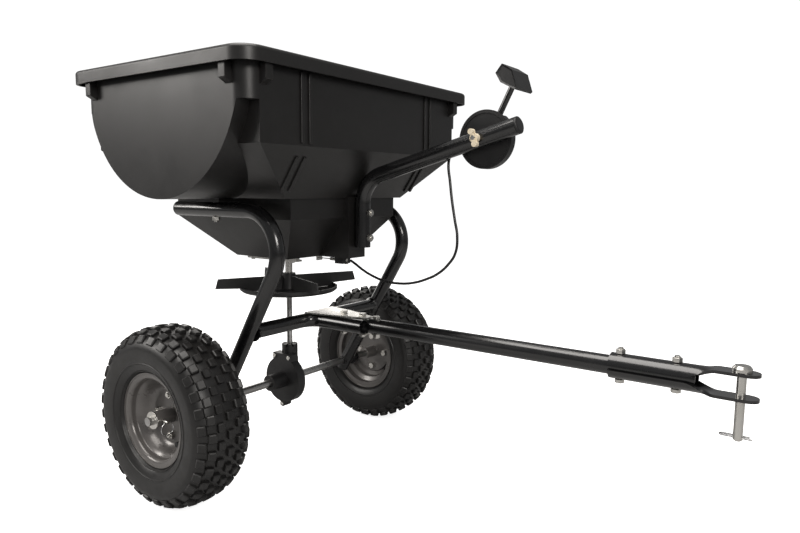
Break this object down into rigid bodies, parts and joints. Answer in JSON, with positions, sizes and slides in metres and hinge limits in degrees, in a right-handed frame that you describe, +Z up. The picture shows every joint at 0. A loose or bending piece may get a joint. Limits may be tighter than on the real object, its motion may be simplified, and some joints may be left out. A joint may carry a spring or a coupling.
{
  "type": "tow-behind broadcast spreader",
  "caption": "Tow-behind broadcast spreader: open-topped hopper on a bent-tube frame, pneumatic wheels, geared spinner, rate lever with cable-worked gate, and clevis hitch on a straight drawbar.",
  "frame": {"origin": "on the ground, under the middle of the machine's box", "axes": "+X towards the hitch, +Y to the machine's left, +Z up"},
  "size_m": [1.141, 0.709, 0.788],
  "materials": {
    "hopper_plastic": "matte textured polyethylene",
    "frame_paint": "gloss black powder coat",
    "zinc_plate": "bright zinc plating",
    "axle_steel": "drawn and plated bar",
    "spring_steel": "drawn steel wire and bright hardened steel",
    "rim_paint": "satin grey paint",
    "tyre_rubber": "black rubber",
    "rubber": "black rubber",
    "moulded_plastic": "black moulded nylon",
    "cable_jacket": "smooth black jacket",
    "cream_plastic": "natural nylon"
  },
  "bodies": {
    "frame": {"hopper": "hopper_plastic", "shaft_bush": "moulded_plastic", "gate_guides": "zinc_plate", "gate_screws": "zinc_plate", "cable_clamp": "moulded_plastic", "cable_ferrules": "zinc_plate", "control_cable": "cable_jacket", "frame_leg_right": "frame_paint", "frame_leg_left": "frame_paint", "tube_plugs": "moulded_plastic", "cross_tube_right": "frame_paint", "cross_tube_left": "frame_paint", "hitch_plates": "zinc_plate", "drawbar_tongue": "zinc_plate", "axle_bushes": "moulded_plastic", "frame_bolts": "zinc_plate", "frame_nuts": "zinc_plate", "drawbar": "frame_paint", "hitch_strap_upper": "frame_paint", "hitch_strap_lower": "frame_paint", "control_arm": "frame_paint", "dial": "moulded_plastic", "pivot_bolt": "zinc_plate", "gearbox_half_right": "moulded_plastic", "gearbox_half_left": "moulded_plastic", "gearbox_screws": "zinc_plate"},
    "drive_axle": {"axle": "axle_steel", "axle_collars": "zinc_plate", "axle_washers": "zinc_plate", "drive_pin": "zinc_plate", "pin_ring": "spring_steel", "cotter_pin": "spring_steel", "rim_outer_right": "rim_paint", "rim_inner_right": "rim_paint", "wheel_hub_right": "rim_paint", "tyre_right": "tyre_rubber", "rim_bolts_right": "zinc_plate", "valve_stem_right": "rubber", "crown_gear": "cream_plastic", "gear_pin": "spring_steel"},
    "free_wheel": {"rim_outer_left": "rim_paint", "rim_inner_left": "rim_paint", "wheel_hub_left": "rim_paint", "tyre_left": "tyre_rubber", "rim_bolts_left": "zinc_plate", "valve_stem_left": "rubber"},
    "spinner": {"pinion": "spring_steel", "spinner_shaft": "axle_steel", "shaft_sleeve": "zinc_plate", "spinner_disc": "moulded_plastic", "spinner_pins": "spring_steel", "agitator": "spring_steel"},
    "rate_lever": {"lever": "frame_paint", "lever_grip": "moulded_plastic"},
    "lever_cable_end": {"lever_wire": "spring_steel"},
    "gate": {"shutter_plate": "zinc_plate", "gate_wire": "spring_steel"},
    "lock_nut": {"wing_nut": "cream_plastic"},
    "hitch_pin": {"hitch_pin": "zinc_plate"},
    "hitch_clip": {"hitch_clip": "spring_steel"}
  },
  "joints": [
    {"name": "axle_spin", "type": "hinge", "parent": "frame", "child": "drive_axle", "pos_m": [-0.3305, 0, 0.165], "axis": [0, 1, 0], "continuous": true},
    {"name": "free_wheel_spin", "type": "hinge", "parent": "drive_axle", "child": "free_wheel", "pos_m": [-0.3305, 0.2975, 0.165], "axis": [0, 1, 0], "continuous": true},
    {"name": "spinner_spin", "type": "hinge", "parent": "frame", "child": "spinner", "pos_m": [-0.3305, 0, 0.365], "axis": [0, 0, 1], "continuous": true},
    {"name": "lever_swing", "type": "hinge", "parent": "frame", "child": "rate_lever", "pos_m": [0.1195, 0.045, 0.662], "axis": [0, -1, 0], "range_deg": [0, 70]},
    {"name": "lever_cable_slide", "type": "slide", "parent": "frame", "child": "lever_cable_end", "axis": [1, 0, 0], "range_m": [0, 0.0242]},
    {"name": "gate_slide", "type": "slide", "parent": "frame", "child": "gate", "axis": [1, 0, 0], "range_m": [0, 0.0242]},
    {"name": "lock_nut_turn", "type": "hinge", "parent": "frame", "child": "lock_nut", "pos_m": [0.1195, -0.006, 0.662], "axis": [0, 1, 0], "continuous": true},
    {"name": "hitch_pin_lift", "type": "slide", "parent": "frame", "child": "hitch_pin", "axis": [0, 0, 1], "range_m": [0, 0.045]},
    {"name": "hitch_clip_pull", "type": "slide", "parent": "hitch_pin", "child": "hitch_clip", "axis": [-1, 0, 0], "range_m": [0, 0.035]}
  ],
  "couplings": [
    {"joint": "spinner_spin", "follows": "axle_spin", "ratio": 4},
    {"joint": "gate_slide", "follows": "lever_swing", "m_per_rad": 0.019644},
    {"joint": "lever_cable_slide", "follows": "lever_swing", "m_per_rad": 0.019644}
  ]
}
